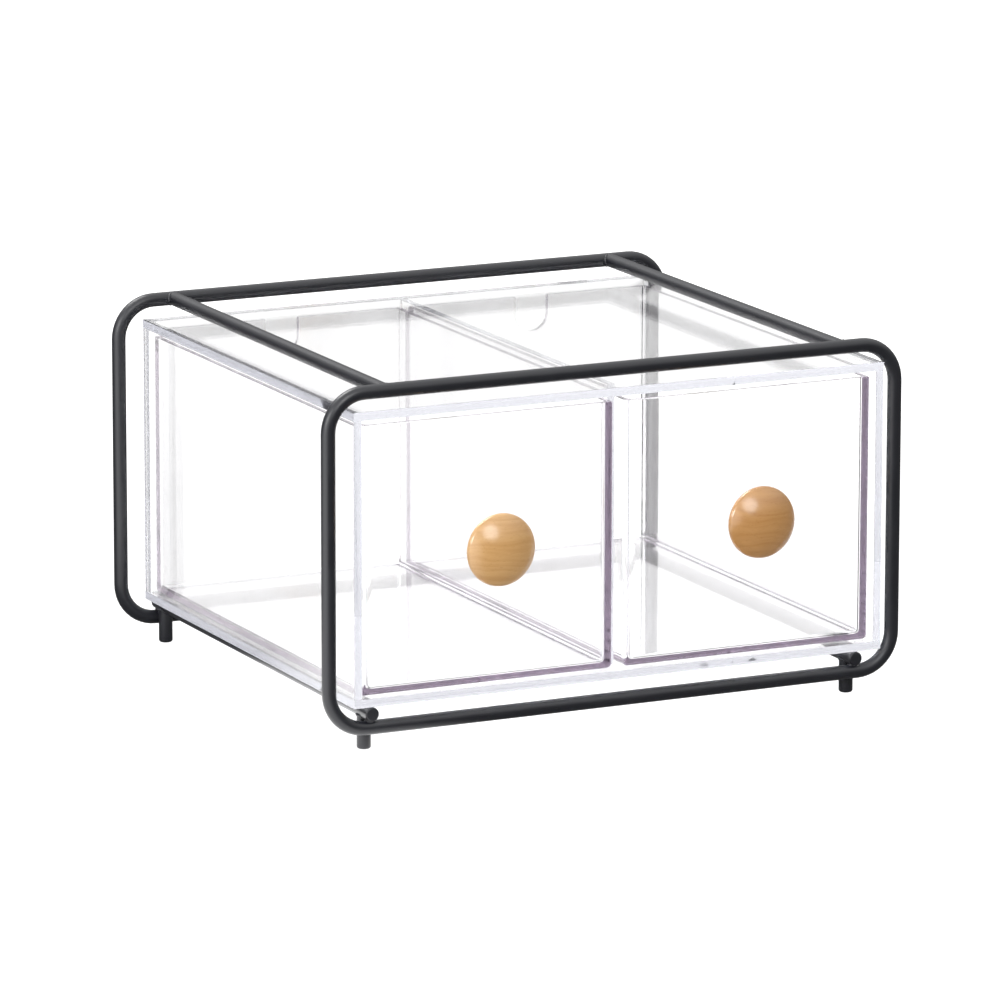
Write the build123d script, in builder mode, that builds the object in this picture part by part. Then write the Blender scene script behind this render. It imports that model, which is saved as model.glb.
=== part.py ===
from build123d import *
import os
from math import asin, cos, sin, sqrt

# Countertop display bin: a welded rod frame, a clear cemented case standing in it and two clear
# bins that pull out of the case by turned wooden knobs. Millimetres, +Z up, front towards -Y.
# The origin is midway across the frame's width and the object's whole depth, level with the
# undersides of the feet.

# ---- Driving dimensions ----

# Frame: one stock of round rod throughout
rod_diameter = 8.0
hoop_width = 349.0            # between the centrelines of a hoop's uprights
hoop_height = 187.5           # between the centrelines of its top and bottom bars
bend_radius = 21.5            # of a hoop's corners, on the centreline
hoop_spacing = 291.0          # between the planes of the two hoops
top_rod_inset = 34.0          # top rods' centrelines inside the uprights' centrelines
bottom_rod_inset = 24.5       # bottom rods' centrelines inside the uprights' centrelines
foot_reach = 9.5              # feet below the undersides of the hoops
foot_cope = 1.6               # height of the saddle that a foot takes on its rod
foot_edge_round = 1.4
rod_end_round = 0.9           # on the free ends of the bottom rods

# Case: clear sheet, cemented edge to face
sheet = 4.8
case_front_lead = 3.0         # case's front face ahead of the front hoop's plane
case_rear_inset = 3.0         # case's rear face ahead of the rear hoop's plane
case_top_gap = 6.2            # between the case and the hoops' top bars
corner_clearance = 0.3        # least gap between the case's corners and the hoops' bends
case_play = 5.4               # sideways play of the loose case, all of it on the left
sheet_edge_round = 0.4        # polished edges of the top and bottom plates
divider_front_inset = 15.0    # divider's front edge behind the case's front edges

# Bins: one clear moulding each
bin_wall = 3.0
bin_floor = 3.0
bin_side_gap = 1.65           # each side, inside the compartment, when the bin is in its middle
bin_rest_shift = 0.5          # both loose bins rest this far to the right of that middle
bin_slide_gap = 0.3           # under the floor
bin_top_gap = 4.0
bin_front_recess = 5.0        # front wall behind the case's front edges
bin_back_gap = 2.2
bin_upright_round = 1.6       # outside, on the upright corners
bin_floor_round = 2.6         # outside, round the floor
bin_inner_round = 3.6         # inside, on the upright corners
bin_floor_inner_round = 2.8   # inside, round the floor
bin_rim_round = 0.5
notch_width = 21.0            # finger notch in the back wall's rim
notch_depth = 21.0

# Knobs: turned wood, held from inside the bin
knob_height = 78.5            # centre above the bin's underside
knob_diameter = 41.0
knob_reach = 26.0             # whole length from the bin's front wall
knob_rim_reach = 16.0         # widest plane from the bin's front wall
knob_rim_round = 3.0
knob_base_diameter = 19.0
knob_neck_diameter = 15.0
knob_neck_reach = 5.0         # narrowest plane from the bin's front wall

# Knob fastening: machine screw, flat washer and brass insert
screw_diameter = 4.2
screw_length = 12.5           # under the head
screw_tip_chamfer = 0.5
screw_head_diameter = 8.0
screw_head_height = 2.8
screw_head_round = 1.1
screw_recess_depth = 1.6
screw_recess_width = 1.2      # of each arm of the cross
screw_recess_span = 4.4       # across the cross
screw_hole_clearance = 0.3    # radial, through the wall and the washer
thread_clearance = 0.03       # radial, screw in insert and insert in knob
washer_diameter = 10.0
washer_thickness = 0.8
insert_diameter = 6.6
insert_length = 11.0
insert_hole_spare = 2.5       # depth of the knob's hole beyond the insert

# ---- Places worked out from them ----

rod_radius = rod_diameter / 2

# Depth: the knobs stand out furthest in front, the rear hoop and rod ends furthest behind
knob_front_lead = case_front_lead - bin_front_recess + knob_reach
rear_reach = hoop_spacing + rod_radius
front_hoop_y = (max(knob_front_lead, rod_radius) - rear_reach) / 2
rear_hoop_y = front_hoop_y + hoop_spacing

# Heights from the feet's undersides
bottom_bar_z = foot_reach + rod_radius
top_bar_z = bottom_bar_z + hoop_height
bottom_rod_z = bottom_bar_z + rod_diameter
case_bottom_z = bottom_rod_z + rod_radius
case_top_z = top_bar_z - rod_radius - case_top_gap

# Rods and feet across and along the frame
top_rod_x = hoop_width / 2 - top_rod_inset
bottom_rod_x = hoop_width / 2 - bottom_rod_inset
front_foot_y = front_hoop_y + rod_diameter
rear_foot_y = rear_hoop_y - rod_diameter

# Case across the frame: it fills the hoops as far as their bends let its corners go
bend_inner_radius = bend_radius - rod_radius
corner_reach = bend_inner_radius - corner_clearance
corner_drop = bend_inner_radius - min(case_top_gap, rod_diameter)
case_side_gap = bend_inner_radius - sqrt(corner_reach**2 - corner_drop**2)
case_right_x = hoop_width / 2 - rod_radius - case_side_gap
case_left_x = case_play - case_right_x
case_width = case_right_x - case_left_x
case_mid_x = (case_left_x + case_right_x) / 2

case_front_y = front_hoop_y - case_front_lead
case_rear_y = rear_hoop_y - case_rear_inset
case_depth = case_rear_y - case_front_y
case_mid_y = (case_front_y + case_rear_y) / 2
panel_z = case_bottom_z + sheet
panel_height = case_top_z - sheet - panel_z
divider_depth = case_depth - sheet - divider_front_inset
divider_mid_y = case_rear_y - sheet - divider_depth / 2

# Compartments and bins
compartment_width = (case_width - 3 * sheet) / 2
compartment_mid_x = (sheet + compartment_width) / 2   # from the middle of the case
bin_width = compartment_width - 2 * bin_side_gap
bin_height = panel_height - bin_slide_gap - bin_top_gap
bin_front_y = case_front_y + bin_front_recess
bin_rear_y = case_rear_y - sheet - bin_back_gap
bin_depth = bin_rear_y - bin_front_y
bin_mid_y = (bin_front_y + bin_rear_y) / 2
bin_bottom_z = panel_z + bin_slide_gap
bin_floor_z = bin_bottom_z + bin_floor
bin_top_z = bin_bottom_z + bin_height

# Knobs and their screws
knob_z = bin_bottom_z + knob_height
washer_y = bin_front_y + bin_wall
screw_head_y = washer_y + washer_thickness


def save(made, name):
    """Label a finished piece and write it under its own name."""
    made.part.label = name
    export_step(made.part, f"parts/{name}.step")


def facing_front(y, x=0, z=0):
    """Plane at depth y with local x to the right, local y up and its normal to the front."""
    return Plane(origin=(x, y, z), x_dir=(1, 0, 0), z_dir=(0, -1, 0))


# ---- Frame ----

def make_hoop(y):
    """One rod bent to a round-cornered rectangle: half of it and the mirror image."""
    with BuildPart() as made:
        with BuildLine(facing_front(y)) as half:
            FilletPolyline(
                (0, bottom_bar_z),
                (hoop_width / 2, bottom_bar_z),
                (hoop_width / 2, top_bar_z),
                (0, top_bar_z),
                radius=bend_radius,
            )
        with BuildSketch(Plane(origin=half.line @ 0, z_dir=half.line % 0)):
            Circle(rod_radius)
        sweep(path=half.line)
        mirror(about=Plane.YZ)
    return made


def make_top_rod(x, hoops):
    """Rod butted between the hoops' top bars, its ends coped to them."""
    with BuildPart() as made:
        with BuildSketch(facing_front(rear_hoop_y, x, top_bar_z)):
            Circle(rod_radius)
        extrude(amount=hoop_spacing)
        for hoop in hoops:
            add(hoop.part, mode=Mode.SUBTRACT)
    return made


def make_bottom_rod(x):
    """Rod across the hoops' bottom bars, its eased ends flush with their outer faces."""
    with BuildPart() as made:
        with BuildSketch(facing_front(rear_hoop_y + rod_radius, x, bottom_rod_z)):
            Circle(rod_radius)
        extrude(amount=hoop_spacing + rod_diameter)
        fillet(made.faces().filter_by(Axis.Y).edges(), rod_end_round)
    return made


def make_foot(x, y, rod):
    """Pin under a bottom rod, coped to it at the top and eased at the bottom."""
    with BuildPart() as made:
        with BuildSketch(Plane.XY):
            with Locations((x, y)):
                Circle(rod_radius)
        extrude(amount=bottom_rod_z - rod_radius + foot_cope)
        fillet(made.edges().sort_by(Axis.Z)[0], foot_edge_round)
        add(rod.part, mode=Mode.SUBTRACT)
    return made


# ---- Case ----

def make_plate(z, outer):
    """Top or bottom plate, full width and depth; outer is its outer face's place in height."""
    with BuildPart() as made:
        with BuildSketch(Plane.XY.offset(z)):
            with Locations((case_mid_x, case_mid_y)):
                Rectangle(case_width, case_depth)
        extrude(amount=sheet)
        fillet(made.faces().sort_by(Axis.Z)[outer].edges(), sheet_edge_round)
    return made


def make_panel(x, y, width, depth):
    """Upright panel between the plates, centred on x and y."""
    with BuildPart() as made:
        with BuildSketch(Plane.XY.offset(panel_z)):
            with Locations((x, y)):
                Rectangle(width, depth)
        extrude(amount=panel_height)
    return made


# ---- Bins ----

def make_bin(x):
    """Open-topped tub with a finger notch in its back rim and a screw hole in its front wall."""
    with BuildPart() as made:
        with BuildSketch(Plane.XY.offset(bin_bottom_z)):
            with Locations((x, bin_mid_y)):
                RectangleRounded(bin_width, bin_depth, bin_upright_round)
        extrude(amount=bin_height)
        fillet(made.faces().sort_by(Axis.Z)[0].edges(), bin_floor_round)

        with BuildSketch(Plane.XY.offset(bin_floor_z)):
            with Locations((x, bin_mid_y)):
                RectangleRounded(
                    bin_width - 2 * bin_wall, bin_depth - 2 * bin_wall, bin_inner_round
                )
        extrude(amount=bin_height, mode=Mode.SUBTRACT)
        inside_floor = made.faces().filter_by(Axis.Z).sort_by(Axis.Z)[1]
        fillet(inside_floor.edges(), bin_floor_inner_round)
        fillet(made.faces().sort_by(Axis.Z)[-1].edges(), bin_rim_round)

        notch_arc_z = bin_top_z - notch_depth + notch_width / 2
        with BuildSketch(facing_front(bin_rear_y + bin_wall, x, notch_arc_z)):
            Circle(notch_width / 2)
            Rectangle(notch_width, notch_depth, align=(Align.CENTER, Align.MIN))
        extrude(amount=3 * bin_wall, mode=Mode.SUBTRACT)

        with BuildSketch(facing_front(bin_front_y, x, knob_z)):
            Circle(screw_diameter / 2 + screw_hole_clearance)
        extrude(amount=2 * bin_wall, both=True, mode=Mode.SUBTRACT)
    return made


def make_knob(x):
    """Turned mushroom: base, cove, round rim and dome, bored at the back for its insert."""
    base_radius = knob_base_diameter / 2
    neck_radius = knob_neck_diameter / 2
    rim_centre = knob_diameter / 2 - knob_rim_round
    # The dome is centred on the axis and runs smoothly into the rim's round
    dome_rise = knob_reach - knob_rim_reach
    dome_radius = (rim_centre**2 + dome_rise**2 - knob_rim_round**2) / (
        2 * (dome_rise - knob_rim_round)
    )
    dome_centre = knob_reach - dome_radius
    dome_angle = asin(rim_centre / (dome_radius - knob_rim_round))

    def on_dome(angle):
        return dome_radius * sin(angle), dome_centre + dome_radius * cos(angle)

    # Local x runs out from the knob's axis and local y to the front
    profile_plane = Plane(origin=(x, bin_front_y, knob_z), x_dir=(1, 0, 0), z_dir=(0, 0, -1))
    with BuildPart() as made:
        with BuildSketch(profile_plane):
            with BuildLine():
                Line((0, 0), (base_radius, 0))
                TangentArc(
                    (neck_radius, knob_neck_reach), (base_radius, 0), tangent=(0, -1)
                )
                Spline(
                    (neck_radius, knob_neck_reach),
                    (rim_centre, knob_rim_reach - knob_rim_round),
                    tangents=((0, 1), (1, 0)),
                )
                ThreePointArc(
                    (rim_centre, knob_rim_reach - knob_rim_round),
                    (rim_centre + knob_rim_round, knob_rim_reach),
                    on_dome(dome_angle),
                )
                ThreePointArc(on_dome(dome_angle), on_dome(dome_angle / 2), on_dome(0))
                Line((0, knob_reach), (0, 0))
            make_face()
        revolve(axis=Axis((x, bin_front_y, knob_z), (0, -1, 0)))
        with BuildSketch(facing_front(bin_front_y, x, knob_z)):
            Circle(insert_diameter / 2 + thread_clearance)
        extrude(amount=insert_length + insert_hole_spare, mode=Mode.SUBTRACT)
    return made


def make_screw(x):
    """Pan head machine screw from inside the bin, with a cross recess."""
    with BuildPart() as made:
        with BuildSketch(facing_front(screw_head_y, x, knob_z)):
            Circle(screw_diameter / 2)
        extrude(amount=screw_length)
        chamfer(made.faces().sort_by(Axis.Y)[0].edges(), screw_tip_chamfer)
        with BuildSketch(facing_front(screw_head_y, x, knob_z)):
            Circle(screw_head_diameter / 2)
        extrude(amount=-screw_head_height)
        fillet(made.faces().sort_by(Axis.Y)[-1].edges(), screw_head_round)
        with BuildSketch(facing_front(screw_head_y + screw_head_height, x, knob_z)):
            Rectangle(screw_recess_span, screw_recess_width)
            Rectangle(screw_recess_width, screw_recess_span)
        extrude(amount=screw_recess_depth, mode=Mode.SUBTRACT)
    return made


def make_ring(x, y, reach, outer_radius, inner_radius):
    """Plain ring about the knob's axis, from depth y towards the front."""
    with BuildPart() as made:
        with BuildSketch(facing_front(y, x, knob_z)):
            Circle(outer_radius)
            Circle(inner_radius, mode=Mode.SUBTRACT)
        extrude(amount=reach)
    return made


# ---- The object ----

os.makedirs("parts", exist_ok=True)

front_hoop = make_hoop(front_hoop_y)
rear_hoop = make_hoop(rear_hoop_y)
save(front_hoop, "front_hoop")
save(rear_hoop, "rear_hoop")

for side, sign in (("left", -1), ("right", 1)):
    save(make_top_rod(sign * top_rod_x, (front_hoop, rear_hoop)), f"{side}_top_rod")
    bottom_rod = make_bottom_rod(sign * bottom_rod_x)
    save(bottom_rod, f"{side}_bottom_rod")
    for end, foot_y in (("front", front_foot_y), ("rear", rear_foot_y)):
        save(make_foot(sign * bottom_rod_x, foot_y, bottom_rod), f"{end}_{side}_foot")

save(make_plate(case_top_z - sheet, outer=-1), "case_top")
save(make_plate(case_bottom_z, outer=0), "case_bottom")
save(make_panel(case_left_x + sheet / 2, case_mid_y, sheet, case_depth), "case_left")
save(make_panel(case_right_x - sheet / 2, case_mid_y, sheet, case_depth), "case_right")
save(
    make_panel(case_mid_x, case_rear_y - sheet / 2, case_width - 2 * sheet, sheet), "case_back"
)
save(make_panel(case_mid_x, divider_mid_y, sheet, divider_depth), "case_divider")

for side, sign in (("left", -1), ("right", 1)):
    mid_x = case_mid_x + sign * compartment_mid_x + bin_rest_shift
    save(make_bin(mid_x), f"{side}_bin")
    save(make_knob(mid_x), f"{side}_knob")
    save(make_screw(mid_x), f"{side}_knob_screw")
    save(
        make_ring(
            mid_x,
            screw_head_y,
            washer_thickness,
            washer_diameter / 2,
            screw_diameter / 2 + screw_hole_clearance,
        ),
        f"{side}_knob_washer",
    )
    save(
        make_ring(
            mid_x,
            bin_front_y,
            insert_length,
            insert_diameter / 2,
            screw_diameter / 2 + thread_clearance,
        ),
        f"{side}_knob_insert",
    )
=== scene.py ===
"""Looks of a countertop display bin: a welded rod frame, a clear case and two clear bins."""

from math import cos, pi, radians, sin, sqrt

import bmesh
import bpy
from mathutils import Matrix, Vector, noise


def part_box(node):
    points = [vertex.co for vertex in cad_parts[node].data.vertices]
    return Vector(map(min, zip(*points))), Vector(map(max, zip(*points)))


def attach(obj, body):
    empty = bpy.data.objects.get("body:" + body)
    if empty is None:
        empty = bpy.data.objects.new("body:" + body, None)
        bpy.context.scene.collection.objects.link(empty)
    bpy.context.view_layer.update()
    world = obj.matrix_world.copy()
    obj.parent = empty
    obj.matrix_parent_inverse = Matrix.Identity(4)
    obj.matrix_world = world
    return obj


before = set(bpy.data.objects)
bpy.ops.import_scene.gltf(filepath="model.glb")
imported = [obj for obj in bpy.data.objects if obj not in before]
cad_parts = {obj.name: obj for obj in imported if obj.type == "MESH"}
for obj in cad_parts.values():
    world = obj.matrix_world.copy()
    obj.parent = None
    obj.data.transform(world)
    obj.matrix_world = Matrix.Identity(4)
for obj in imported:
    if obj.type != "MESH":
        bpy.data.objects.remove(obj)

bl_info = {
    "name": "Countertop display bin",
    "version": (1, 0, 0),
    "blender": (4, 5, 0),
    "location": "3D View > Sidebar > Display Bin",
    "description": "Finishes, weld beads and stage of a clear display bin in a rod frame",
    "category": "Object",
}

MM = 0.001
WHITE = (1, 1, 1, 1)


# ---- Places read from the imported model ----


def middle(node, axis):
    """Middle of a node's box along the axis x, y or z."""
    low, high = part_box(node)
    return (getattr(low, axis) + getattr(high, axis)) / 2


ENDS = ("front", "rear")
SIDES = ("left", "right")
# Which way along Y leads into the frame from each end, and which way along X to each side
INWARD = {"front": 1, "rear": -1}
SIDEWAYS = {"left": -1, "right": 1}

hoop_low, hoop_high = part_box("front_hoop")
ROD_RADIUS = (hoop_high.y - hoop_low.y) / 2
BAR_Y = {end: middle(f"{end}_hoop", "y") for end in ENDS}
TOP_BAR_Z = hoop_high.z - ROD_RADIUS
BOTTOM_BAR_Z = hoop_low.z + ROD_RADIUS
TOP_ROD_X = -middle("left_top_rod", "x")
BOTTOM_ROD_X = -middle("left_bottom_rod", "x")
BOTTOM_ROD_Z = middle("left_bottom_rod", "z")
FOOT_TOP_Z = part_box("front_left_foot")[1].z
FOOT_Y = {end: middle(f"{end}_left_foot", "y") for end in ENDS}
KNOB_X = {side: middle(f"{side}_knob", "x") for side in SIDES}
KNOB_Z = middle("left_knob", "z")
BIN_MID_X = (KNOB_X["left"] + KNOB_X["right"]) / 2
KNOB_HALF_PITCH = (KNOB_X["right"] - KNOB_X["left"]) / 2

HOOPS = ("front_hoop", "rear_hoop")
RODS = ("left_top_rod", "right_top_rod", "left_bottom_rod", "right_bottom_rod")
FEET = ("front_left_foot", "front_right_foot", "rear_left_foot", "rear_right_foot")
CASE_PLATES = ("case_top", "case_bottom")
CASE_PANELS = ("case_left", "case_right", "case_back", "case_divider")


# ---- Settings ----


def colour_setting(name, description, default):
    """Colour that a user may change, given as red, green and blue."""
    return bpy.props.FloatVectorProperty(
        name=name,
        description=description,
        subtype="COLOR",
        size=4,
        min=0,
        max=1,
        default=default + (1,),
    )


def length_setting(name, description, default, least=0.1 * MM):
    """Length that a user may change, in metres."""
    return bpy.props.FloatProperty(
        name=name, description=description, unit="LENGTH", min=least, default=default
    )


def share_setting(name, description, default):
    """Share from 0 to 1 that a user may change."""
    return bpy.props.FloatProperty(
        name=name, description=description, subtype="FACTOR", min=0, max=1, default=default
    )


def power_setting(name, description, default):
    """Power of a lamp that a user may change, in watts."""
    return bpy.props.FloatProperty(
        name=name, description=description, unit="POWER", min=0, default=default
    )


def number_setting(name, description, default):
    """Plain number that a user may change."""
    return bpy.props.FloatProperty(name=name, description=description, min=0, default=default)


class FrameSettings(bpy.types.PropertyGroup):
    """Powder coat and weld beads of the rod frame."""

    coat_colour: colour_setting(
        "Coat colour", "Colour of the powder coat", (0.0085, 0.009, 0.0125)
    )
    coat_roughness: share_setting("Coat roughness", "Mean roughness of the powder coat", 0.36)
    peel_size: length_setting("Peel size", "Width of the coat's orange peel waves", 1.3 * MM)
    bead_radius: length_setting(
        "Bead radius", "Radius of the weld beads where they are thickest", 0.9 * MM
    )


class CaseSettings(bpy.types.PropertyGroup):
    """Clear sheet of the case."""

    tint: colour_setting(
        "Tint", "Colour that long ways through the sheet keep", (0.125, 0.135, 0.25)
    )
    tint_density: number_setting(
        "Tint density", "How fast the sheet takes up light, per metre", 1.75
    )
    edge_break: length_setting(
        "Edge break", "Width of the eased edges of the upright panels", 0.25 * MM, least=0
    )
    cement_gap: length_setting(
        "Cement line",
        "Depth by which a panel's faces stand back from the sheet they are fixed to",
        0.02 * MM,
        least=0,
    )


class BinSettings(bpy.types.PropertyGroup):
    """Clear moulding of the two bins."""

    tint: colour_setting(
        "Tint", "Colour that long ways through the moulding keep", (0.183, 0.067, 0.217)
    )
    tint_density: number_setting(
        "Tint density", "How fast the moulding takes up light, per metre", 6.0
    )


class KnobSettings(bpy.types.PropertyGroup):
    """Turned wooden knobs."""

    left_wood: colour_setting(
        "Left wood", "Colour of the left knob between the growth lines", (0.56, 0.32, 0.115)
    )
    # Painted shade: the right knob's wood is set darker and redder than the left knob's, to
    # stand in for the shade that fell on it
    right_wood: colour_setting(
        "Right wood", "Colour of the right knob between the growth lines", (0.46, 0.232, 0.068)
    )
    growth_spacing: length_setting(
        "Growth spacing", "Distance between growth lines", 3.4 * MM, least=0.5 * MM
    )
    lacquer: share_setting("Lacquer", "Weight of the clear lacquer over the wood", 1.0)


class FastenerSettings(bpy.types.PropertyGroup):
    """Knob screws, washers and inserts."""

    steel_colour: colour_setting(
        "Steel colour", "Colour of the screws and washers", (0.56, 0.57, 0.58)
    )
    brass_colour: colour_setting(
        "Brass colour", "Colour of the threaded inserts", (0.72, 0.49, 0.20)
    )
    tool_mark_spacing: length_setting(
        "Tool mark spacing", "Distance between the turning marks", 0.18 * MM, least=0.01 * MM
    )


class StageSettings(bpy.types.PropertyGroup):
    """Camera, floor and lights."""

    lens: bpy.props.FloatProperty(
        name="Lens",
        description="Focal length in millimetres, on a sensor 36 mm wide",
        min=1,
        default=267.645,
    )
    soft_light: number_setting("Soft light", "Strength of the light from all round", 0.6)
    key_power: power_setting("Key light", "Power of the lamp in front, above the eye", 34)
    side_power: power_setting("Side light", "Power of the lamp on the left", 24)
    back_power: power_setting("Back light", "Power of the lamp high behind", 34)
    floor_colour: colour_setting("Floor colour", "Colour of the floor", (0.62, 0.62, 0.62))


# ---- Node helpers ----


def feed(tree, socket, value):
    """Link a value that is a socket itself, and set any other."""
    if isinstance(value, bpy.types.NodeSocket):
        tree.links.new(value, socket)
    else:
        socket.default_value = value


def add_node(tree, kind, inputs=None, **settings):
    """New node of a kind, with its settings and inputs."""
    made = tree.nodes.new(kind)
    for name, value in settings.items():
        setattr(made, name, value)
    for name, value in (inputs or {}).items():
        feed(tree, made.inputs[name], value)
    return made


def math_node(tree, operation, first, second=0.0):
    """Result of one arithmetic step."""
    made = add_node(tree, "ShaderNodeMath", {0: first, 1: second}, operation=operation)
    return made.outputs[0]


def add(tree, first, second):
    """Sum of two values."""
    return math_node(tree, "ADD", first, second)


def subtract(tree, first, second):
    """First value less the second."""
    return math_node(tree, "SUBTRACT", first, second)


def multiply(tree, first, second):
    """Product of two values."""
    return math_node(tree, "MULTIPLY", first, second)


def divide(tree, first, second):
    """First value over the second."""
    return math_node(tree, "DIVIDE", first, second)


def ramp(tree, value, low, high, to_low=0.0, to_high=1.0):
    """Value carried smoothly from the range low to high onto to_low to to_high."""
    made = add_node(
        tree,
        "ShaderNodeMapRange",
        {"Value": value, "From Min": low, "From Max": high, "To Min": to_low, "To Max": to_high},
        interpolation_type="SMOOTHSTEP",
    )
    return made.outputs["Result"]


def split(tree, vector):
    """The X, Y and Z of a vector."""
    return add_node(tree, "ShaderNodeSeparateXYZ", {"Vector": vector}).outputs


def blend_colours(tree, share, first, second):
    """Blend of two colours by share, from first at 0 to second at 1."""
    # Of this node's many sockets, inputs 6 and 7 and output 2 are its colours
    made = add_node(tree, "ShaderNodeMix", {0: share, 6: first, 7: second}, data_type="RGBA")
    return made.outputs[2]


def blend_shaders(tree, share, first, second):
    """Blend of two shaders by share, from first at 0 to second at 1."""
    made = add_node(tree, "ShaderNodeMixShader", {"Fac": share, 1: first, 2: second})
    return made.outputs["Shader"]


def bump(tree, height, strength, depth):
    """Normal disturbed by a height, where depth is the height's full range in metres."""
    inputs = {"Height": height, "Strength": strength, "Distance": depth}
    return add_node(tree, "ShaderNodeBump", inputs).outputs["Normal"]


def own_place(tree):
    """Place on the piece itself, in metres, which moves with the piece."""
    return tree.nodes.new("ShaderNodeTexCoord").outputs["Object"]


def start_group(name, inputs, outputs):
    """New shader node group, the sockets that hold its inputs, and those for its results."""
    tree = bpy.data.node_groups.new(name, "ShaderNodeTree")
    for label, kind, value in inputs:
        socket = tree.interface.new_socket(label, in_out="INPUT", socket_type=kind)
        if value is not None:
            socket.default_value = value
    for label, kind in outputs:
        tree.interface.new_socket(label, in_out="OUTPUT", socket_type=kind)
    given = tree.nodes.new("NodeGroupInput").outputs
    result = tree.nodes.new("NodeGroupOutput").inputs
    return tree, given, result


def place_group(tree, group, **inputs):
    """Outputs of a node that uses a shared effect, with its own values."""
    named = {label.replace("_", " "): value for label, value in inputs.items()}
    return add_node(tree, "ShaderNodeGroup", named, node_tree=group).outputs


def start_material(name):
    """New material, its empty node tree, and the node that takes its shader."""
    material = bpy.data.materials.new(name)
    material.use_nodes = True
    tree = material.node_tree
    tree.nodes.clear()
    output = tree.nodes.new("ShaderNodeOutputMaterial")
    return material, tree, output


def scaled(colour, share):
    """Colour with its channels times a share, which is one number or one for each channel."""
    shares = share if isinstance(share, tuple) else (share,) * 3
    return tuple(each * channel for each, channel in zip(shares, colour)) + (1,)


def dress(material, *names):
    """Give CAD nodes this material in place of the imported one."""
    for name in names:
        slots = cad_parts[name].material_slots
        if not slots:
            raise RuntimeError(f"{name} has no material slot")
        for slot in slots:
            slot.material = material


# ---- Shared effects ----


def build_unevenness():
    """Waves left by coating, moulding or polishing, and patches where a finish varies."""
    name = "Surface unevenness"
    if name in bpy.data.node_groups:
        return bpy.data.node_groups[name]
    tree, given, result = start_group(
        name,
        [
            ("Vector", "NodeSocketVector", None),
            ("Wave Size", "NodeSocketFloat", 1 * MM),
            ("Patch Size", "NodeSocketFloat", 30 * MM),
            ("Fine Share", "NodeSocketFloat", 0.4),
        ],
        [("Height", "NodeSocketFloat"), ("Patches", "NodeSocketFloat")],
    )
    waves = add_node(
        tree,
        "ShaderNodeTexNoise",
        {
            "Vector": given["Vector"],
            "Scale": divide(tree, 1.0, given["Wave Size"]),
            "Detail": 2.0,
            "Roughness": given["Fine Share"],
        },
    )
    patches = add_node(
        tree,
        "ShaderNodeTexNoise",
        {
            "Vector": given["Vector"],
            "Scale": divide(tree, 1.0, given["Patch Size"]),
            "Detail": 3.0,
            "Distortion": 0.6,
        },
    )
    tree.links.new(waves.outputs["Fac"], result["Height"])
    tree.links.new(ramp(tree, patches.outputs["Fac"], low=0.32, high=0.68), result["Patches"])
    return tree


def build_turning():
    """Marks of a turning tool: fine rings about the nearer knob's axis."""
    name = "Turning marks"
    if name in bpy.data.node_groups:
        return bpy.data.node_groups[name]
    tree, given, result = start_group(
        name,
        [
            ("Vector", "NodeSocketVector", None),
            ("Spacing", "NodeSocketFloat", 0.2 * MM),
            ("Advance", "NodeSocketFloat", 1.0),
        ],
        [("Height", "NodeSocketFloat"), ("Shade", "NodeSocketFloat")],
    )
    place = split(tree, given["Vector"])
    from_middle = math_node(tree, "ABSOLUTE", subtract(tree, place["X"], BIN_MID_X))
    across = subtract(tree, from_middle, KNOB_HALF_PITCH)
    up = subtract(tree, place["Z"], KNOB_Z)
    squares = add(tree, multiply(tree, across, across), multiply(tree, up, up))
    radius = math_node(tree, "SQRT", squares)
    # Advance carries the rings on over faces that run along the axis
    along = add(tree, radius, multiply(tree, place["Y"], given["Advance"]))
    rings = add_node(
        tree,
        "ShaderNodeTexNoise",
        {"W": divide(tree, along, given["Spacing"]), "Scale": 1.0, "Detail": 2.0},
        noise_dimensions="1D",
    ).outputs["Fac"]
    tree.links.new(rings, result["Height"])
    tree.links.new(ramp(tree, rings, low=0.35, high=0.65), result["Shade"])
    return tree


# Waves per metre along X, Y and Z in each of the wood's patterns
WANDER_WAVES = (14, 38, 46)
STREAK_WAVES = (12, 160, 300)
FIBRE_WAVES = (55, 900, 1300)
PORE_WAVES = (260, 1900, 2600)
# How far the growth layers rise along Y and X, as a slope, and how far they wander
LAYER_RISE_Y = 0.22
LAYER_RISE_X = 0.07
LAYER_WANDER = 22 * MM
# How far each pattern carries the colour from light to dark
LAYER_SHARE = 0.55
STREAK_SHARE = 0.33
FIBRE_SHARE = 0.16
PORE_SHARE = 0.42
# Depth of a pore against the height of a fibre
PORE_DEPTH = 1.4


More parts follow.
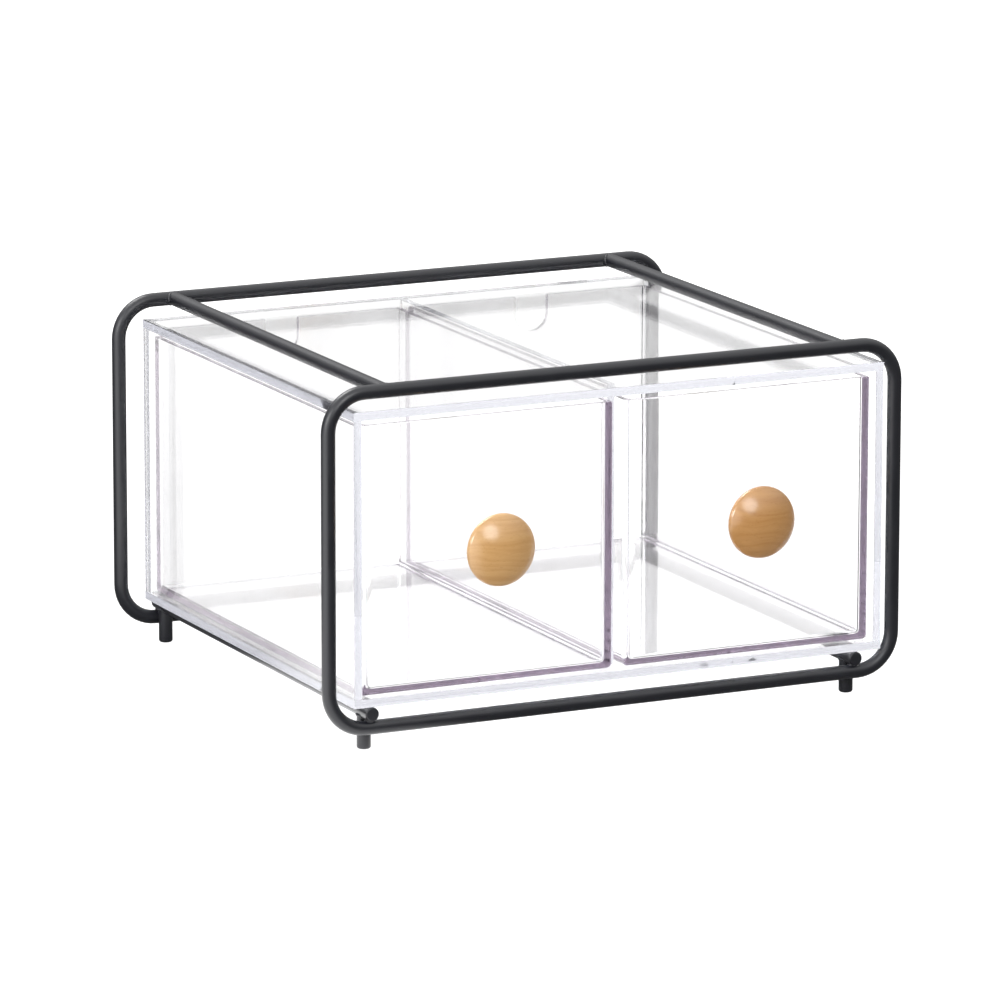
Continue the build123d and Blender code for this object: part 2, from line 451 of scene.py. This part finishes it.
def build_grain():
    """Wood with its fibres along X and its growth layers lying nearly level."""
    name = "Wood grain"
    if name in bpy.data.node_groups:
        return bpy.data.node_groups[name]
    tree, given, result = start_group(
        name,
        [
            ("Vector", "NodeSocketVector", None),
            ("Growth Spacing", "NodeSocketFloat", 3 * MM),
            ("Light", "NodeSocketColor", (0.8, 0.5, 0.3, 1)),
            ("Dark", "NodeSocketColor", (0.5, 0.3, 0.1, 1)),
        ],
        [
            ("Colour", "NodeSocketColor"),
            ("Pores", "NodeSocketFloat"),
            ("Height", "NodeSocketFloat"),
        ],
    )

    def stretched_noise(waves, detail, distortion=0.0):
        """Noise with its own number of waves along each axis."""
        stretched = add_node(
            tree, "ShaderNodeMapping", {"Vector": given["Vector"], "Scale": waves}
        )
        made = add_node(
            tree,
            "ShaderNodeTexNoise",
            {
                "Vector": stretched.outputs["Vector"],
                "Scale": 1.0,
                "Detail": detail,
                "Distortion": distortion,
            },
        )
        return made.outputs["Fac"]

    # Growth layers: level in Z, leaning a little in Y and X, and wandering slowly
    place = split(tree, given["Vector"])
    lean = add(
        tree, multiply(tree, place["Y"], LAYER_RISE_Y), multiply(tree, place["X"], LAYER_RISE_X)
    )
    swing = subtract(tree, stretched_noise(WANDER_WAVES, detail=2.0), 0.5)
    wander = multiply(tree, swing, LAYER_WANDER)
    level = add(tree, add(tree, place["Z"], lean), wander)
    layers = add_node(
        tree,
        "ShaderNodeTexNoise",
        {"W": divide(tree, level, given["Growth Spacing"]), "Scale": 1.0, "Detail": 1.0},
        noise_dimensions="1D",
    ).outputs["Fac"]
    fibres = stretched_noise(FIBRE_WAVES, detail=3.0, distortion=0.2)
    streaks = stretched_noise(STREAK_WAVES, detail=2.0, distortion=0.3)
    pores = ramp(tree, stretched_noise(PORE_WAVES, detail=1.0), low=0.64, high=0.74)

    layer_part = multiply(tree, ramp(tree, layers, low=0.36, high=0.68), LAYER_SHARE)
    streak_part = multiply(tree, ramp(tree, streaks, low=0.35, high=0.7), STREAK_SHARE)
    fibre_part = multiply(tree, ramp(tree, fibres, low=0.35, high=0.7), FIBRE_SHARE)
    darkness = add(tree, add(tree, layer_part, streak_part), fibre_part)
    grain = blend_colours(tree, darkness, given["Light"], given["Dark"])
    deep = add_node(
        tree,
        "ShaderNodeHueSaturation",
        {"Color": given["Dark"], "Value": 0.62, "Saturation": 1.08},
    ).outputs["Color"]
    pored = blend_colours(tree, multiply(tree, pores, PORE_SHARE), grain, deep)
    height = subtract(tree, fibres, multiply(tree, pores, PORE_DEPTH))
    tree.links.new(pored, result["Colour"])
    tree.links.new(pores, result["Pores"])
    tree.links.new(height, result["Height"])
    return tree


# ---- Materials ----

# Faded patches of the powder coat, and dull ones of the metal, against the rest
COAT_FADING = 1.12
METAL_TARNISH = 0.72
# Roughness of the powder coat's smoothest and roughest patches, from its mean
COAT_SMOOTHER = 0.04
COAT_ROUGHER = 0.05
# Light that the lamps send on through a clear piece
LAMP_LIGHT_KEPT = (0.93, 0.94, 0.95, 1)
# Dark growth lines against the light wood between them
DARK_WOOD = (0.87, 0.80, 0.70)
# Height of the turning marks on the wood against its fibres
TURNING_SHARE = 0.5


def coat_material(settings):
    """Black powder coat: satin, with a fine orange peel."""
    material, tree, output = start_material("black_powder_coat")
    uneven = place_group(
        tree,
        build_unevenness(),
        Vector=own_place(tree),
        Wave_Size=settings.peel_size,
        Patch_Size=35 * MM,
        Fine_Share=0.55,
    )
    base = tuple(settings.coat_colour)
    faded = scaled(base, COAT_FADING)
    smoothest = settings.coat_roughness - COAT_SMOOTHER
    roughest = settings.coat_roughness + COAT_ROUGHER
    surface = add_node(
        tree,
        "ShaderNodeBsdfPrincipled",
        {
            "Base Color": blend_colours(tree, uneven["Patches"], base, faded),
            "Roughness": ramp(tree, uneven["Patches"], 0, 1, smoothest, roughest),
            "Specular IOR Level": 0.5,
            "Normal": bump(tree, uneven["Height"], strength=0.35, depth=0.06 * MM),
        },
    )
    tree.links.new(surface.outputs["BSDF"], output.inputs["Surface"])
    return material


def clear_material(name, settings, wave_size, wave_depth, roughest):
    """Clear plastic, tinted in long ways through it, which the lamps shine through."""
    material, tree, output = start_material(name)
    uneven = place_group(
        tree,
        build_unevenness(),
        Vector=own_place(tree),
        Wave_Size=wave_size,
        Patch_Size=50 * MM,
        Fine_Share=0.3,
    )
    surface = add_node(
        tree,
        "ShaderNodeBsdfPrincipled",
        {
            "Base Color": WHITE,
            "Metallic": 0.0,
            "Roughness": ramp(tree, uneven["Patches"], low=0.2, high=1, to_high=roughest),
            "IOR": 1.49,
            "Transmission Weight": 1.0,
            "Normal": bump(tree, uneven["Height"], strength=1.0, depth=wave_depth),
        },
    )
    # A lamp's light goes straight through to what stands behind
    through = add_node(tree, "ShaderNodeBsdfTransparent", {"Color": LAMP_LIGHT_KEPT})
    ray = tree.nodes.new("ShaderNodeLightPath").outputs
    outside = blend_shaders(
        tree, ray["Is Shadow Ray"], surface.outputs["BSDF"], through.outputs["BSDF"]
    )
    inside = add_node(
        tree,
        "ShaderNodeVolumeAbsorption",
        {"Color": tuple(settings.tint), "Density": settings.tint_density},
    )
    tree.links.new(outside, output.inputs["Surface"])
    tree.links.new(inside.outputs["Volume"], output.inputs["Volume"])
    return material


def wood_material(name, colour, settings):
    """Pale hardwood under a thin lacquer, turned on a lathe."""
    material, tree, output = start_material(name)
    light = tuple(colour)
    place = own_place(tree)
    grain = place_group(
        tree,
        build_grain(),
        Vector=place,
        Growth_Spacing=settings.growth_spacing,
        Light=light,
        Dark=scaled(light, DARK_WOOD),
    )
    turning = place_group(tree, build_turning(), Vector=place, Spacing=0.6 * MM, Advance=0.8)
    marks = add(tree, grain["Height"], multiply(tree, turning["Height"], TURNING_SHARE))
    surface = add_node(
        tree,
        "ShaderNodeBsdfPrincipled",
        {
            "Base Color": grain["Colour"],
            "Roughness": ramp(tree, grain["Pores"], 0, 1, to_low=0.42, to_high=0.6),
            "Specular IOR Level": 0.25,
            "Coat Weight": settings.lacquer,
            "Coat Roughness": 0.22,
            "Coat IOR": 1.65,
            "Normal": bump(tree, marks, strength=0.35, depth=0.05 * MM),
        },
    )
    tree.links.new(surface.outputs["BSDF"], output.inputs["Surface"])
    return material


def turned_metal_material(name, colour, spacing, smoothest, roughest):
    """Bare metal with the rings that turning leaves and a little tarnish."""
    material, tree, output = start_material(name)
    place = own_place(tree)
    turning = place_group(tree, build_turning(), Vector=place, Spacing=spacing, Advance=1.0)
    uneven = place_group(
        tree,
        build_unevenness(),
        Vector=place,
        Wave_Size=0.5 * MM,
        Patch_Size=4 * MM,
        Fine_Share=0.5,
    )
    base = tuple(colour)
    dull = scaled(base, METAL_TARNISH)
    surface = add_node(
        tree,
        "ShaderNodeBsdfPrincipled",
        {
            "Base Color": blend_colours(tree, uneven["Patches"], base, dull),
            "Metallic": 1.0,
            "Roughness": ramp(tree, turning["Shade"], 0, 1, smoothest, roughest),
            "Normal": bump(tree, turning["Height"], strength=0.3, depth=0.01 * MM),
        },
    )
    tree.links.new(surface.outputs["BSDF"], output.inputs["Surface"])
    return material


# ---- Weld beads ----

BEAD_SIDES = 12
# Depth of the even ripples and of the slow drift, as shares of a bead's thickness
RIPPLE_DEPTH = 0.10
DRIFT_DEPTH = 0.14
DRIFT_WAVES = 2
# Beads beside a butted rod: how far round they reach, and how thin they end
BUTT_REACH = radians(68)
BUTT_STEPS = 40
BUTT_RIPPLES = 26
BUTT_END = 0.12
# Ring where two bars cross: how wide it is, and how far it fills past the gap
CROSSING_RADIUS = 2.2 * MM
CROSSING_STEPS = 60
CROSSING_RIPPLES = 18
CROSSING_FILL = 0.45
# Ring round the top of a foot: how far out it lies, how thick it is, and its lift off the flanks
SADDLE_OUT = 0.97
SADDLE_STEPS = 80
SADDLE_RIPPLES = 24
SADDLE_THICKNESS = 0.75
SADDLE_LIFT = 0.1 * MM


def lay_bead(bead, path, radii, centre, closed):
    """Tube along path, thick as radii say, its rings turned outward from centre."""
    count = len(path)
    rings = []
    for index, (point, radius) in enumerate(zip(path, radii)):
        ahead = path[(index + 1) % count] if closed else path[min(index + 1, count - 1)]
        behind = path[index - 1] if closed else path[max(index - 1, 0)]
        forward = (ahead - behind).normalized()
        outward = point - centre
        outward = (outward - forward * outward.dot(forward)).normalized()
        side = forward.cross(outward)
        ring = []
        for corner in range(BEAD_SIDES):
            angle = 2 * pi * corner / BEAD_SIDES
            ring.append(
                bead.verts.new(point + radius * (cos(angle) * outward + sin(angle) * side))
            )
        rings.append(ring)
    pairs = list(zip(rings, rings[1:]))
    if closed:
        pairs.append((rings[-1], rings[0]))
    for near, far in pairs:
        for corner in range(BEAD_SIDES):
            following = (corner + 1) % BEAD_SIDES
            bead.faces.new((near[corner], far[corner], far[following], near[following]))
    if not closed:
        bead.faces.new(reversed(rings[0]))
        bead.faces.new(rings[-1])


def ripple(angle, ripples, seed):
    """Thickness of a hand-laid bead at an angle, as a share of its full thickness."""
    wave = RIPPLE_DEPTH * sin(ripples * angle)
    spot = Vector((DRIFT_WAVES * cos(angle), DRIFT_WAVES * sin(angle), seed))
    return 1 + wave + DRIFT_DEPTH * noise.noise(spot)


def butt_beads(bead, centre, inward, radius, seed):
    """Two beads, left and right of a rod butted on a bar of its own size."""
    for side in (-1, 1):
        path, radii = [], []
        for step in range(BUTT_STEPS + 1):
            angle = -BUTT_REACH + 2 * BUTT_REACH * step / BUTT_STEPS
            across = side * ROD_RADIUS * cos(angle)
            up = ROD_RADIUS * sin(angle)
            path.append(centre + Vector((across, inward * abs(across), up)))
            taper = sqrt(max(0.0, 1 - (angle / BUTT_REACH) ** 2))
            thickness = BUTT_END + (1 - BUTT_END) * taper
            radii.append(radius * thickness * ripple(angle, BUTT_RIPPLES, seed + side))
        lay_bead(bead, path, radii, centre, closed=False)


def crossing_bead(bead, touch, first, second, radius, seed):
    """Bead round the point where two bars of equal size cross and touch."""
    path, radii = [], []
    normal = first.cross(second).normalized()
    for step in range(CROSSING_STEPS):
        angle = 2 * pi * step / CROSSING_STEPS
        along_first = CROSSING_RADIUS * cos(angle)
        along_second = CROSSING_RADIUS * sin(angle)
        # The bar along first falls away by second's offset, and the other way round
        fall_first = ROD_RADIUS - sqrt(ROD_RADIUS**2 - along_second**2)
        fall_second = ROD_RADIUS - sqrt(ROD_RADIUS**2 - along_first**2)
        between = (fall_second - fall_first) / 2
        path.append(touch + along_first * first + along_second * second + between * normal)
        half_gap = (fall_first + fall_second) / 2
        thickness = half_gap + CROSSING_FILL * radius
        radii.append(thickness * ripple(angle, CROSSING_RIPPLES, seed))
    lay_bead(bead, path, radii, touch, closed=True)


def saddle_bead(bead, x, y, radius, seed):
    """Bead round a foot where it is coped to the underside of a rod."""
    path, radii = [], []
    out = SADDLE_OUT * ROD_RADIUS
    for step in range(SADDLE_STEPS):
        angle = 2 * pi * step / SADDLE_STEPS
        seam = BOTTOM_ROD_Z - ROD_RADIUS * abs(sin(angle))
        lift = SADDLE_LIFT if seam > FOOT_TOP_Z else 0
        height = min(seam, FOOT_TOP_Z) + lift
        path.append(Vector((x + out * cos(angle), y + out * sin(angle), height)))
        radii.append(SADDLE_THICKNESS * radius * ripple(angle, SADDLE_RIPPLES, seed))
    lay_bead(bead, path, radii, Vector((x, y, FOOT_TOP_Z)), closed=True)


def finish_bead(name, bead, material):
    """Turn what is laid in bead into one piece of the frame."""
    bmesh.ops.recalc_face_normals(bead, faces=bead.faces)
    mesh = bpy.data.meshes.new(name)
    bead.to_mesh(mesh)
    bead.free()
    for face in mesh.polygons:
        face.use_smooth = True
    mesh.materials.append(material)
    piece = bpy.data.objects.new(name, mesh)
    bpy.context.scene.collection.objects.link(piece)
    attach(piece, "frame")


# ---- Stage ----

# Camera at the photograph's viewing angle: place in metres, turns in degrees
CAMERA_PLACE = (-1.80105, -3.71925, 1.01821)
CAMERA_HEADING = 25.7674
CAMERA_DIP = 12.5332
CAMERA_ROLL = 0.0959
CAMERA_SENSOR = 36
CAMERA_SIGHT = 40

# Each lamp's place and width, and the setting that holds its power
LAMPS = {
    "key_lamp": ((-0.64, -2.35, 1.83), 1.7, "key_power"),
    "side_lamp": ((-2.4, -0.75, 1.0), 1.0, "side_power"),
    "back_lamp": ((-0.5, 1.2, 2.0), 1.2, "back_power"),
}
LAMP_TARGET = Vector((0, 0, 0.1))

FLOOR_HALF_WIDTH = 9.0
FLOOR_DROP = 0.05 * MM
FLOOR_WEAR = 0.985
# White of the floor and the surroundings as the eye sees them, over 1 so that they are still
# white through the tinted pieces
FLOOR_WHITE = 1.5
SURROUND_WHITE = 1.45
# The floor's shadow shows through a share of white, from the near distance in metres to the
# far one, where all is white
SHADOW_NEAR = 0.3
SHADOW_FAR = 1.1
NEAR_WHITE_SHARE = 0.72

# The room that a shine mirrors: darkest level with the eye, brighter overhead, and
# brightest towards a window on the left
ROOM_LEVEL = 0.22
ROOM_OVERHEAD = 1.7
ROOM_OVERHEAD_FROM = 0.9
WINDOW_LIGHT = 2.6
WINDOW_TOWARDS = (-0.95, -0.31, 0)
WINDOW_EDGE = 0.7

# Light has many clear faces to cross before it comes out
LIGHT_BOUNCES = 96
SHADOW_BOUNCES = 48


def mirrored_room(tree, outward):
    """Strength of the room that a shine mirrors, in the direction outward."""
    overhead = split(tree, outward)["Z"]
    leftward = add_node(
        tree, "ShaderNodeVectorMath", {0: outward, 1: WINDOW_TOWARDS}, operation="DOT_PRODUCT"
    ).outputs["Value"]
    return add(
        tree,
        ramp(tree, overhead, 0, ROOM_OVERHEAD_FROM, ROOM_LEVEL, ROOM_OVERHEAD),
        ramp(tree, leftward, WINDOW_EDGE, 1, 0, WINDOW_LIGHT),
    )


def seen_share(tree):
    """1 for rays that the eye follows straight or through something clear."""
    ray = tree.nodes.new("ShaderNodeLightPath").outputs
    return math_node(tree, "MAXIMUM", ray["Is Camera Ray"], ray["Is Transmission Ray"])


def floor_material(colour):
    """Matt floor that shows as white to the eye and keeps the shadow that falls on it."""
    material, tree, output = start_material("studio_floor")
    uneven = place_group(
        tree,
        build_unevenness(),
        Vector=own_place(tree),
        Wave_Size=4 * MM,
        Patch_Size=600 * MM,
        Fine_Share=0.5,
    )
    base = tuple(colour)
    worn = scaled(base, FLOOR_WEAR)
    matt = add_node(
        tree,
        "ShaderNodeBsdfDiffuse",
        {"Color": blend_colours(tree, uneven["Patches"], base, worn)},
    ).outputs["BSDF"]
    white = add_node(
        tree, "ShaderNodeEmission", {"Color": WHITE, "Strength": FLOOR_WHITE}
    ).outputs["Emission"]
    place = own_place(tree)
    distance = add_node(
        tree, "ShaderNodeVectorMath", {0: place}, operation="LENGTH"
    ).outputs["Value"]
    outward = add_node(
        tree, "ShaderNodeVectorMath", {0: place}, operation="NORMALIZE"
    ).outputs["Vector"]
    white_share = ramp(tree, distance, SHADOW_NEAR, SHADOW_FAR, NEAR_WHITE_SHARE, 1.0)
    seen = blend_shaders(tree, white_share, matt, white)
    mirrored = add_node(
        tree, "ShaderNodeEmission", {"Color": WHITE, "Strength": mirrored_room(tree, outward)}
    ).outputs["Emission"]
    ray = tree.nodes.new("ShaderNodeLightPath").outputs
    lit = blend_shaders(tree, ray["Is Glossy Ray"], matt, mirrored)
    shown = blend_shaders(tree, seen_share(tree), lit, seen)
    tree.links.new(shown, output.inputs["Surface"])
    return material


def set_camera(scene, lens):
    """Put the camera at the photograph's viewing angle."""
    data = bpy.data.cameras.new("camera")
    data.lens = lens
    data.sensor_width = CAMERA_SENSOR
    data.clip_end = CAMERA_SIGHT
    camera = bpy.data.objects.new("camera", data)
    turn = (
        Matrix.Rotation(radians(-CAMERA_HEADING), 4, "Z")
        @ Matrix.Rotation(radians(90 - CAMERA_DIP), 4, "X")
        @ Matrix.Rotation(radians(CAMERA_ROLL), 4, "Z")
    )
    camera.matrix_world = Matrix.Translation(CAMERA_PLACE) @ turn
    scene.collection.objects.link(camera)
    scene.camera = camera


def lay_floor(scene, colour):
    """Lay the floor just under the feet."""
    grid = bmesh.new()
    bmesh.ops.create_grid(grid, x_segments=4, y_segments=4, size=FLOOR_HALF_WIDTH)
    mesh = bpy.data.meshes.new("floor")
    grid.to_mesh(mesh)
    grid.free()
    mesh.materials.append(floor_material(colour))
    floor = bpy.data.objects.new("floor", mesh)
    floor.location.z = -FLOOR_DROP
    scene.collection.objects.link(floor)


def hang_lamps(scene, settings):
    """Hang the round lamps, turned to the object."""
    for name, (place, width, power) in LAMPS.items():
        data = bpy.data.lights.new(name, "AREA")
        data.shape = "DISK"
        data.size = width
        data.energy = getattr(settings, power)
        lamp = bpy.data.objects.new(name, data)
        lamp.location = place
        lamp.rotation_euler = (LAMP_TARGET - Vector(place)).to_track_quat("-Z", "Y").to_euler()
        scene.collection.objects.link(lamp)


def surround(scene, soft_light):
    """Set the surroundings: white to the eye, a room to a shine, soft light to the rest."""
    world = bpy.data.worlds.new("white_studio")
    world.use_nodes = True
    tree = world.node_tree
    tree.nodes.clear()

    def background(strength):
        """White surroundings of a strength."""
        made = add_node(tree, "ShaderNodeBackground", {"Color": WHITE, "Strength": strength})
        return made.outputs["Background"]

    outward = tree.nodes.new("ShaderNodeTexCoord").outputs["Generated"]
    mirrored = background(mirrored_room(tree, outward))
    ray = tree.nodes.new("ShaderNodeLightPath").outputs
    lit = blend_shaders(tree, ray["Is Glossy Ray"], background(soft_light), mirrored)
    shown = blend_shaders(tree, seen_share(tree), lit, background(SURROUND_WHITE))
    output = tree.nodes.new("ShaderNodeOutputWorld")
    tree.links.new(shown, output.inputs["Surface"])
    scene.world = world


# ---- Operators ----


class DISPLAYBIN_OT_coat_frame(bpy.types.Operator):
    """Give every rod and foot its black powder coat"""

    bl_idname = "display_bin.coat_frame"
    bl_label = "Coat Frame"

    def execute(self, context):
        dress(coat_material(context.scene.display_bin_frame), *HOOPS, *RODS, *FEET)
        return {"FINISHED"}


class DISPLAYBIN_OT_lay_weld_beads(bpy.types.Operator):
    """Lay the beads where the rods and feet are welded together"""

    bl_idname = "display_bin.lay_weld_beads"
    bl_label = "Lay Weld Beads"

    def execute(self, context):
        radius = context.scene.display_bin_frame.bead_radius
        material = bpy.data.materials.get("black_powder_coat")
        if material is None:
            raise RuntimeError("coat the frame before laying its beads")
        along_x, along_y, along_z = Vector((1, 0, 0)), Vector((0, 1, 0)), Vector((0, 0, 1))
        seed = 0
        for end in ENDS:
            bar_y, inward = BAR_Y[end], INWARD[end]
            for side in SIDES:
                seed += 3
                top_x = SIDEWAYS[side] * TOP_ROD_X
                bottom_x = SIDEWAYS[side] * BOTTOM_ROD_X

                bead = bmesh.new()
                centre = Vector((top_x, bar_y, TOP_BAR_Z))
                butt_beads(bead, centre, inward, radius, seed)
                finish_bead(f"{end}_{side}_top_rod_weld", bead, material)

                bead = bmesh.new()
                touch = Vector((bottom_x, bar_y, BOTTOM_BAR_Z + ROD_RADIUS))
                crossing_bead(bead, touch, along_x, along_y, radius, seed + 1)
                finish_bead(f"{end}_{side}_bottom_rod_weld", bead, material)

                bead = bmesh.new()
                saddle_bead(bead, bottom_x, FOOT_Y[end], radius, seed + 2)
                touch = Vector((bottom_x, bar_y + inward * ROD_RADIUS, BOTTOM_BAR_Z))
                crossing_bead(bead, touch, along_z, inward * along_x, radius, seed + 2)
                finish_bead(f"{end}_{side}_foot_weld", bead, material)
        return {"FINISHED"}


class DISPLAYBIN_OT_clear_case(bpy.types.Operator):
    """Make the case of clear sheet with eased edges and fine cement lines"""

    bl_idname = "display_bin.clear_case"
    bl_label = "Clear Case"

    def execute(self, context):
        settings = context.scene.display_bin_case
        material = clear_material(
            "clear_sheet", settings, wave_size=30 * MM, wave_depth=0.004 * MM, roughest=0.03
        )
        dress(material, *CASE_PLATES, *CASE_PANELS)
        for name in CASE_PANELS:
            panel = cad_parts[name]
            join = panel.modifiers.new("Joined corners", "WELD")
            join.merge_threshold = 0.001 * MM
            shrink = panel.modifiers.new("Cement line", "DISPLACE")
            shrink.direction = "NORMAL"
            shrink.mid_level = 0
            # A corner's normal leans over three faces, so it moves further than they do
            shrink.strength = -sqrt(3) * settings.cement_gap
            ease = panel.modifiers.new("Eased edges", "BEVEL")
            ease.width = settings.edge_break
            ease.segments = 2
            ease.limit_method = "ANGLE"
            even = panel.modifiers.new("Flat faces", "WEIGHTED_NORMAL")
            even.keep_sharp = False
        return {"FINISHED"}


class DISPLAYBIN_OT_clear_bins(bpy.types.Operator):
    """Make both bins of clear tinted moulding"""

    bl_idname = "display_bin.clear_bins"
    bl_label = "Clear Bins"

    def execute(self, context):
        settings = context.scene.display_bin_bins
        material = clear_material(
            "clear_moulding", settings, wave_size=20 * MM, wave_depth=0.006 * MM, roughest=0.035
        )
        dress(material, "left_bin", "right_bin")
        return {"FINISHED"}


class DISPLAYBIN_OT_turn_knobs(bpy.types.Operator):
    """Give both knobs their lacquered wood"""

    bl_idname = "display_bin.turn_knobs"
    bl_label = "Turn Knobs"

    def execute(self, context):
        settings = context.scene.display_bin_knobs
        dress(wood_material("left_wood", settings.left_wood, settings), "left_knob")
        # The right knob's wood colour carries painted shade, darker and redder than the left
        # knob's
        dress(wood_material("right_wood", settings.right_wood, settings), "right_knob")
        return {"FINISHED"}


class DISPLAYBIN_OT_fit_fasteners(bpy.types.Operator):
    """Give the knobs' screws, washers and inserts their bare metal"""

    bl_idname = "display_bin.fit_fasteners"
    bl_label = "Fit Fasteners"

    def execute(self, context):
        settings = context.scene.display_bin_fasteners
        steel_marks = settings.tool_mark_spacing
        brass_marks = 1.6 * steel_marks
        steel = turned_metal_material(
            "turned_steel", settings.steel_colour, steel_marks, smoothest=0.24, roughest=0.36
        )
        brass = turned_metal_material(
            "turned_brass", settings.brass_colour, brass_marks, smoothest=0.28, roughest=0.42
        )
        for side in SIDES:
            dress(steel, f"{side}_knob_screw", f"{side}_knob_washer")
            dress(brass, f"{side}_knob_insert")
        return {"FINISHED"}


class DISPLAYBIN_OT_set_stage(bpy.types.Operator):
    """Set the camera, the floor, the lamps and the white surroundings"""

    bl_idname = "display_bin.set_stage"
    bl_label = "Set Stage"

    def execute(self, context):
        scene = context.scene
        settings = scene.display_bin_stage
        set_camera(scene, settings.lens)
        lay_floor(scene, settings.floor_colour)
        hang_lamps(scene, settings)
        surround(scene, settings.soft_light)
        scene.view_settings.view_transform = "Standard"
        scene.cycles.max_bounces = LIGHT_BOUNCES
        scene.cycles.transmission_bounces = LIGHT_BOUNCES
        scene.cycles.glossy_bounces = LIGHT_BOUNCES
        scene.cycles.transparent_max_bounces = SHADOW_BOUNCES
        return {"FINISHED"}


class DISPLAYBIN_PT_sidebar(bpy.types.Panel):
    """Panel that lists the steps and their settings"""

    bl_idname = "DISPLAYBIN_PT_sidebar"
    bl_label = "Display Bin"
    bl_space_type = "VIEW_3D"
    bl_region_type = "UI"
    bl_category = "Display Bin"

    def draw(self, context):
        for group, operators in STEPS.items():
            box = self.layout.box()
            settings = getattr(context.scene, group)
            for name in settings.bl_rna.properties.keys():
                if name not in ("name", "rna_type"):
                    box.prop(settings, name)
            for operator in operators:
                box.operator(operator.bl_idname)


SETTINGS = {
    "display_bin_frame": FrameSettings,
    "display_bin_case": CaseSettings,
    "display_bin_bins": BinSettings,
    "display_bin_knobs": KnobSettings,
    "display_bin_fasteners": FastenerSettings,
    "display_bin_stage": StageSettings,
}
STEPS = {
    "display_bin_frame": (DISPLAYBIN_OT_coat_frame, DISPLAYBIN_OT_lay_weld_beads),
    "display_bin_case": (DISPLAYBIN_OT_clear_case,),
    "display_bin_bins": (DISPLAYBIN_OT_clear_bins,),
    "display_bin_knobs": (DISPLAYBIN_OT_turn_knobs,),
    "display_bin_fasteners": (DISPLAYBIN_OT_fit_fasteners,),
    "display_bin_stage": (DISPLAYBIN_OT_set_stage,),
}
OPERATORS = tuple(operator for operators in STEPS.values() for operator in operators)


def register():
    """Register the settings, the operators and the panel."""
    for name, settings in SETTINGS.items():
        bpy.utils.register_class(settings)
        setattr(bpy.types.Scene, name, bpy.props.PointerProperty(type=settings))
    for operator in OPERATORS:
        bpy.utils.register_class(operator)
    bpy.utils.register_class(DISPLAYBIN_PT_sidebar)


def unregister():
    """Remove what register added, in reverse."""
    bpy.utils.unregister_class(DISPLAYBIN_PT_sidebar)
    for operator in reversed(OPERATORS):
        bpy.utils.unregister_class(operator)
    for name, settings in reversed(SETTINGS.items()):
        delattr(bpy.types.Scene, name)
        bpy.utils.unregister_class(settings)


def main():
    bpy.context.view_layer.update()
    register()
    bpy.ops.display_bin.coat_frame()
    bpy.ops.display_bin.lay_weld_beads()
    bpy.ops.display_bin.clear_case()
    bpy.ops.display_bin.clear_bins()
    bpy.ops.display_bin.turn_knobs()
    bpy.ops.display_bin.fit_fasteners()
    bpy.ops.display_bin.set_stage()


if __name__ == "__main__":
    main()
